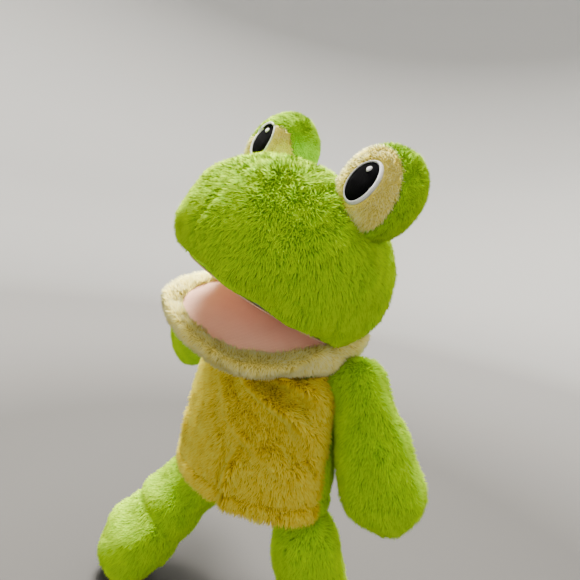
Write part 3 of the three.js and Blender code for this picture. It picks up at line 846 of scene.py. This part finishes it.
def make_head():
    points = cad_points("face_left", "face_right", "head_back")
    local = to_local(HEAD, points)
    upper = to_world(HEAD, local[local[:, 2] > 0])
    skin = soften(hull("head_plush", upper), 4.0, 5)
    x, y, z = to_local(HEAD, coords(skin)).T
    amount = 1.3 * wave_noise(coords(skin), 38, 7)
    # The seam down the face, then the seam over the head to its back.
    amount += -1.6 * ridge(x, 2.4) * np.clip((30 - y) / 20, 0, 1) * (z > 12)
    amount += -1.8 * ridge(y - BACK_SEAM, 2.6) * (z > 6)
    # The muzzle is full above the lip, and the cheeks are full beside the mouth's corners.
    amount += 2.0 * ridge(z - 24, 16) * np.clip((-y - 20) / 50, 0, 1)
    push(skin, amount)
    local = to_local(HEAD, coords(skin))
    facing = normals(skin) @ HEAD[:3, :3]
    x, y, z = local.T
    under = (facing[:, 2] < -0.6) & (superellipse(x, y, *PALATE_SIZE) < 1) & (y < 2)
    local[:, 2] = np.where(under, PALATE_Z + 0.5, z)
    local[:, 2] += LIP_RAISE * ridge(z, 12) * np.clip((np.abs(x) - 18) / 30, 0, 1) * (y < 18)
    set_coords(skin, to_world(HEAD, local))
    x, y, z = local.T
    hole = np.hypot(x, y - NECK_IN_HEAD[1]) < HAND_HOLE
    height = np.where(facing[:, 2] < -0.72, 0.0, 1.0)
    height *= np.clip(0.5 + z / 26, 0.5, 1)
    for eye in EYE_CENTRES:
        height *= np.clip(np.linalg.norm((coords(skin) - eye) / MM, axis=1) / 28, 0.3, 1)
    gone = hole & (z < 6) & (facing[:, 2] < -0.5)
    cut_away(skin, gone)
    height = height[~gone]
    comb = np.array([0, -0.15, -1.0])
    x, y = to_local(HEAD, coords(skin))[:, :2].T
    panels = {"face_left": (x >= 0) & (y < BACK_SEAM), "face_right": (x < 0) & (y < BACK_SEAM),
              "head_back": y >= BACK_SEAM}
    for panel, own in panels.items():
        pile = grow_pile(skin, "pile_" + panel, "green_plush", comb, height=height * own, lean=1.0)
        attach(pile, "head")
    seal_sheet(skin, PLUSH_THICK)
    dress(skin, "green_plush")
    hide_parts("face_left", "face_right", "head_back")
    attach(skin, "head")
    make_nape()


def cut_away(obj, gone):
    """Removes the vertices where gone is true."""
    shape = bmesh.new()
    shape.from_mesh(obj.data)
    shape.verts.ensure_lookup_table()
    bmesh.ops.delete(shape, geom=[shape.verts[i] for i in np.flatnonzero(gone)], context="VERTS")
    shape.to_mesh(obj.data)
    shape.free()


def make_nape():
    """The head's own ring of plush, which hangs down inside the neck behind the hand."""
    local = to_local(HEAD, cad_points("head_back"))
    radius = np.linalg.norm(local - NECK_IN_HEAD, axis=1)[local[:, 2] < -20].max() - 0.6
    low, high = local[:, 2].min(), 4.0
    verts = []
    columns, rows = 64, 12
    front = math.asin((NAPE_FRONT - NECK_IN_HEAD[1]) / radius)
    for c in range(columns + 1):
        turn = front + (math.pi - 2 * front) * c / columns
        for r in range(rows + 1):
            z = low + (high - low) * r / rows
            out = math.sqrt(max(radius ** 2 - (z - NECK_IN_HEAD[2]) ** 2, 1))
            verts.append((NECK_IN_HEAD[0] + math.cos(turn) * out, NECK_IN_HEAD[1] + math.sin(turn) * out, z))
    band = new_object("nape_band", to_world(HEAD, verts), grid_faces(columns, rows))
    seal_sheet(band, PLUSH_THICK)
    dress(band, "green_plush")
    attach(band, "head")


def make_chin():
    base = hull("chin", cad_points("chin_plush"))
    # Behind each corner of the mouth the plush narrows away along the head's lower edge.
    ends = []
    for side in (-1, 1):
        balls = [to_world(axes, ball_points((side * x, y, z), radius))
                 for axes, x, y, z, radius in CORNER_BALLS]
        ends += [hull("corner", np.concatenate(pair)) for pair in zip(balls, balls[1:])]
    skin = soften(join(base, *ends), 3.2, 4)
    amount = 0.7 * wave_noise(coords(skin), 26, 9) - 0.8
    push(skin, amount)
    local = to_local(JAW, coords(skin))
    facing = normals(skin) @ JAW[:3, :3]
    x, y, z = local.T
    reach = superellipse(x, y, *FLOOR_SIZE)
    dish = (facing[:, 2] > 0.5) & (reach < 1.02) & (y < 3)
    local[:, 2] = np.where(dish, FLOOR_Z - 0.5, z + 2.0 * ridge(reach - 1.4, 0.35) * (facing[:, 2] > 0))
    set_coords(skin, to_world(JAW, local))
    height = np.where(dish & (reach < 0.97), 0.0, 1.0)
    comb = (local @ JAW[:3, :3].T) * [1, 1, 0] * 0.012 + np.array([0, 0, -0.7])
    pile = grow_pile(skin, "pile_chin", "lip_plush", comb, height=height, lean=0.6, length=PILE_LIP)
    dress(skin, "lip_plush")
    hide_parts("chin_plush")
    start, end = to_world(HEAD, (0, 10, -4)), to_world(JAW, (0, -12, -4))
    tuple(start)
    tuple(end)
    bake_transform(skin)
    tuple(start)
    tuple(end)
    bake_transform(pile)


def make_mouth_lining():
    """One piece of pink tricot over the palate, round the fold and over the mouth's floor."""
    across, along = 48, 96
    verts = []
    for r in range(along + 1):
        s = 2 * r / along - 1
        t = math.sin(abs(s) * math.pi / 2)
        floor_share = min(max(0.5 + s / 0.12, 0), 1)
        floor_share = floor_share ** 2 * (3 - 2 * floor_share)
        for c in range(across + 1):
            u = 2 * c / across - 1
            spot = []
            for axes, (half, long), z in ((HEAD, PALATE_SIZE, PALATE_Z), (JAW, FLOOR_SIZE, FLOOR_Z)):
                y = -long * t
                x = u * half * (1 - t ** MOUTH_SQUARE) ** (1 / MOUTH_SQUARE)
                spot.append(to_world(axes, (x, y + 0.8, z)))
            verts.append(spot[0] * (1 - floor_share) + spot[1] * floor_share)
    wide = across + 1
    faces = [(r * wide + c, r * wide + c + 1, (r + 1) * wide + c + 1, (r + 1) * wide + c)
             for r in range(along) for c in range(across)]
    lining = new_object("mouth_lining", verts, faces)
    modify(lining, "WELD", merge_threshold=0.00005)
    # Creases run into the corners of the mouth, where the lining is pulled round the fold.
    local = to_local(JAW, coords(lining))
    crease = np.zeros(len(local))
    for side in (-1, 1):
        for slope, depth in ((0.42, 0.9), (0.16, 0.5)):
            line = (side * 54 - local[:, 0]) * side * slope + local[:, 1]
            crease += depth * ridge(line, 1.6) * np.clip(1 - np.abs(local[:, 0] - side * 50) / 34, 0, 1)
    set_coords(lining, coords(lining) + JAW[:3, 2] * crease[:, None] * MM)
    seal_sheet(lining, TRICOT_THICK, 0)
    dress(lining, "mouth_jersey")
    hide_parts("palate_lining", "jaw_lining")
    start, end = to_world(HEAD, (0, 0, 3)), to_world(JAW, (0, 0, -3))
    tuple(start)
    tuple(end)
    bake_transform(lining)


# ------------------------------------------------------------------ limbs

def limb_web(limb, side, joint_place):
    """Points of the plush that joins a limb's root to the body."""
    way = 1 if side == "left" else -1
    if limb == "arm":
        # Over the body's shoulder in two steps.
        low = np.array([body_centre(0.096)[0] + way * 0.046, body_centre(0.096)[1] + 0.004, 0.096])
        high = np.array([body_centre(0.108)[0] + way * 0.040, body_centre(0.108)[1] + 0.010, 0.105])
        return [ball_points(joint_place, 16 * MM, (0.9, 0.85, 1)), ball_points(low, 13 * MM, (1, 0.9, 1)),
                ball_points(high, 10 * MM)]
    under_hem = joint_place + np.array([-way * 0.002, 0, 0.015])
    return [ball_points(joint_place, 25 * MM, (1, 0.8, 1)), ball_points(under_hem, 22 * MM, (1, 0.7, 0.6))]


def make_limb(limb, side, joint):
    stem = f"{limb}_{side}"
    axes = limb_axes(stem + "_filling", joint)
    place = np.array(JOINTS[joint]["pos_m"])
    shape = hull(stem + "_plush", cad_points(stem + "_front", stem + "_back"))
    web = hull("web", np.concatenate(limb_web(limb, side, place)))
    skin = soften(join(shape, web), 4.0, 6)
    local = to_local(axes, coords(skin))
    amount = -SEAM_DEPTH * ridge(local[:, 1], SEAM_WIDTH) * np.clip(local[:, 2] / 20 + 0.5, 0, 1)
    amount += 1.5 * wave_noise(coords(skin), 32, 13 + len(stem)) - 0.8
    if limb == "leg":
        # The foot is turned forward at a crease.
        amount -= 2.6 * ridge(local[:, 2] - FOOT_CREASE, 5) * np.clip(-local[:, 1] / 12 + 0.3, 0, 1)
    push(skin, amount)
    comb = axes[:3, 2] + np.array([0, 0, -0.3])
    pile = grow_pile(skin, "pile_" + stem, "green_plush", comb, lean=0.75)
    dress(skin, "green_plush")
    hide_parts(stem + "_front", stem + "_back")
    for piece in (skin, pile):
        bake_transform(piece)


# ------------------------------------------------------------------ eyes

def oval_axes(name, out_from):
    """Axes at the middle of a stitched oval: X across it, Y up it, Z out of the eye; and its half sizes."""
    points = cad_points(name)
    middle = points.mean(0)
    ways = np.linalg.svd(points - middle, full_matrices=False)[2]
    out = ways[2] if ways[2] @ (middle - out_from) > 0 else -ways[2]
    up = ways[0] if ways[0][2] > 0 else -ways[0]
    axes = np.eye(4)
    axes[:3, 0], axes[:3, 1], axes[:3, 2], axes[:3, 3] = np.cross(up, out), up, out, middle
    local = to_local(axes, points)
    low, high = local.min(0), local.max(0)
    shift = (low + high) / 2
    axes[:3, 3] = to_world(axes, (shift[0], shift[1], 0))
    return axes, (high - low)[:2] / 2


def stitched_patch(name, axes, size, hole, slot, skin, lift, rings, spokes):
    """Satin stitch over an oval, or between an oval and a hole, lying on the eye's skin and crowned.
    hole is (centre x, centre y, half width, half height) in the oval's axes, or None."""
    verts, run = [], []
    for k in range(rings + 1):
        share = k / rings
        crown = lift * (0.25 + 0.75 * (1 - abs(2 * share - 1) ** 3) if hole else 1 - 0.75 * share ** 8)
        for c in range(spokes):
            turn = 2 * math.pi * c / spokes
            outer = np.array([math.cos(turn) * size[0], math.sin(turn) * size[1]])
            if hole:
                inner = np.array([hole[0] + math.cos(turn) * hole[2], hole[1] + math.sin(turn) * hole[3]])
            else:
                inner = np.zeros(2)
            flat = inner + (outer - inner) * share
            start = to_world(axes, (flat[0], flat[1], 15))
            hit = skin.ray_cast(Vector(start), Vector(-axes[:3, 2]), 0.05)
            ground = np.array(hit[0]) if hit[0] is not None else to_world(axes, (flat[0], flat[1], 0))
            verts.append(ground + axes[:3, 2] * crown * MM)
            run.append(turn * (size[0] + size[1]) / 2 / STITCH * 2 * math.pi if hole
                       else flat[1] / STITCH * 2 * math.pi)
    made = new_object(name, verts, [tuple(reversed(face)) for face in ring_faces(rings, spokes)])
    store(made, "stitch", run)
    modify(made, "WELD", merge_threshold=0.00002)
    modify(made, "SOLIDIFY", thickness=0.0008, offset=-1)
    dress(made, slot)
    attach(made, "head")
    return made


def eye_half(stem, half):
    """One half of an eye's skin, cut from the whole bulb at the seam."""
    front, back = cad_points(stem + "front"), cad_points(stem + "back")
    way = front.mean(0) - back.mean(0)
    way /= np.linalg.norm(way)
    middle = np.concatenate([front, back]).mean(0)
    seam = middle + way * ((back @ way).max() - middle @ way + EYE_SEAM_FORWARD * MM)
    outwards = HEAD[:3, 0] if "left" in stem else -HEAD[:3, 0]
    way = way - EYE_SEAM_TILT * HEAD[:3, 2] - EYE_SEAM_YAW * outwards
    skin = hull(stem + half + "_plush", np.concatenate([front, back]))
    shape = bmesh.new()
    shape.from_mesh(skin.data)
    cut = bmesh.ops.bisect_plane(shape, geom=shape.verts[:] + shape.edges[:] + shape.faces[:], plane_co=seam,
                                 plane_no=way if half == "back" else -way, clear_outer=True)
    edges = [part for part in cut["geom_cut"] if isinstance(part, bmesh.types.BMEdge)]
    bmesh.ops.edgenet_fill(shape, edges=edges)
    bmesh.ops.recalc_face_normals(shape, faces=shape.faces)
    shape.to_mesh(skin.data)
    shape.free()
    return soften(skin, 2.2, 3)


def make_eye(side):
    stem = f"eye_{side}_"
    middle = cad_points(stem + "front", stem + "back").mean(0)
    ring_axes, ring_size = oval_axes(stem + "ring", middle)
    for half, slot in (("front", "yellow_plush"), ("back", "green_plush")):
        skin = eye_half(stem, half)
        height = np.ones(len(skin.data.vertices))
        if half == "front":
            flat = to_local(ring_axes, coords(skin))
            reach = np.hypot(flat[:, 0] / (ring_size[0] - 0.6), flat[:, 1] / (ring_size[1] - 0.6))
            height = np.clip((reach - 0.98) * 5, 0, 1)
            surface = surface_tree(skin)
        fabric = EYE_YELLOW if half == "front" else GREEN
        pile = grow_pile(skin, "pile_" + stem + half, slot, (0, -0.3, -1), length=PILE_SHORT, height=height,
                         lean=0.8, density=TUFTS_PER_MM2 * 1.3, width=TUFT_WIDTH * 0.8, material=fabric)
        dress(skin, slot, fabric)
        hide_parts(stem + half)
        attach(skin, "head")
        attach(pile, "head")
    pupil_axes, pupil_size = oval_axes(stem + "pupil", middle)
    centre = to_local(ring_axes, pupil_axes[:3, 3])
    hole = (centre[0], centre[1], pupil_size[0] - 0.2, pupil_size[1] - 0.2)
    ring = stitched_patch(stem + "ring_stitch", ring_axes, ring_size, hole, "white_thread", surface,
                          lift=1.3, rings=8, spokes=160)
    pupil = stitched_patch(stem + "pupil_stitch", pupil_axes, pupil_size, None, "black_thread", surface,
                           lift=1.0, rings=14, spokes=96)
    glint_axes, glint_size = oval_axes(stem + "glint", middle)
    glint = stitched_patch(stem + "glint_stitch", glint_axes, glint_size, None, "white_thread", surface,
                           lift=1.7, rings=6, spokes=40)
    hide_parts(stem + "ring")
    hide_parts(stem + "pupil")
    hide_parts(stem + "glint")


# ------------------------------------------------------------------ room

def make_room():
    """A matt floor that curves up far away on every side, a key light, a wide ceiling light and a dim sky."""
    verts = []
    low = BODY_LOW[2] - 0.13
    around, profile = 64, [(0, 0), (1.2, 0), (1.8, 0.05), (2.3, 0.25), (2.6, 0.7), (2.7, 2.5)]
    for radius, rise in profile:
        for k in range(around):
            turn = 2 * math.pi * k / around
            verts.append((radius * math.cos(turn), radius * math.sin(turn), low + rise))
    floor = new_object("floor", verts, ring_faces(len(profile) - 1, around))
    shade_smooth(floor)
    # The paper is painted dark grey under the puppet, a painted shade that keeps light from bouncing up under it,
    # and pale where it curves up behind.
    made, tree = new_material("matt_paper", "#f0efee")
    spot = node(tree, "ShaderNodeTexCoord")
    split = node(tree, "ShaderNodeVectorMath", [(0, spot.outputs["Object"])], operation="LENGTH")
    share = node(tree, "ShaderNodeMath", [(0, split.outputs["Value"])], operation="MULTIPLY")
    share.inputs[1].default_value = 0.35
    colour = colour_ramp(tree, share.outputs[0], (0.17, linear("#464544")), (0.95, linear("#eaeae9")),
                         (0.5, linear("#868584")))
    finish_surface(tree, colour, Roughness=0.9)
    floor.data.materials.append(made)
    floor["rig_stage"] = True
    world = bpy.data.worlds.new("studio")
    bpy.context.scene.world = world
    world.use_nodes = True
    sky = world.node_tree.nodes["Background"]
    sky.inputs["Color"].default_value = linear("#eef0f4")
    sky.inputs["Strength"].default_value = 0.22
    lamps = [
        ("key", (-0.42, 0.12, 1.2), 0.45, 90.0),
        ("ceiling", (-0.1, 0.3, 2.0), 2.0, 135.0),
    ]
    for name, place, size, power in lamps:
        data = bpy.data.lights.new(name, "AREA")
        data.size = size
        data.energy = power
        data.color = linear(SUN_HEX)[:3]
        lamp = link_object(name, data)
        lamp.location = place
        aim = Vector((0, 0, 0.1)) - Vector(place)
        lamp.rotation_euler = aim.to_track_quat("-Z", "Y").to_euler()


# ------------------------------------------------------------------ everything

for part in frame["record"]["subparts"]:
    carried = frame["nodes"][part["node"]]
    carried.data.materials.clear()
    carried.data.materials.append(SLOT_MATERIALS[part["material_slot"]])

make_body()
make_body_lining()
make_neck()
make_head()
make_chin()
make_mouth_lining()
for part_side in ("left", "right"):
    make_eye(part_side)
    make_limb("arm", part_side, f"arm_{part_side}_raise")
    make_limb("leg", part_side, f"leg_{part_side}_swing")
make_room()

shown = [o for o in bpy.data.objects if o.type == "MESH" and not o.hide_render and "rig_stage" not in o]
print("triangles", sum(len(p.vertices) - 2 for o in shown for p in o.data.polygons))
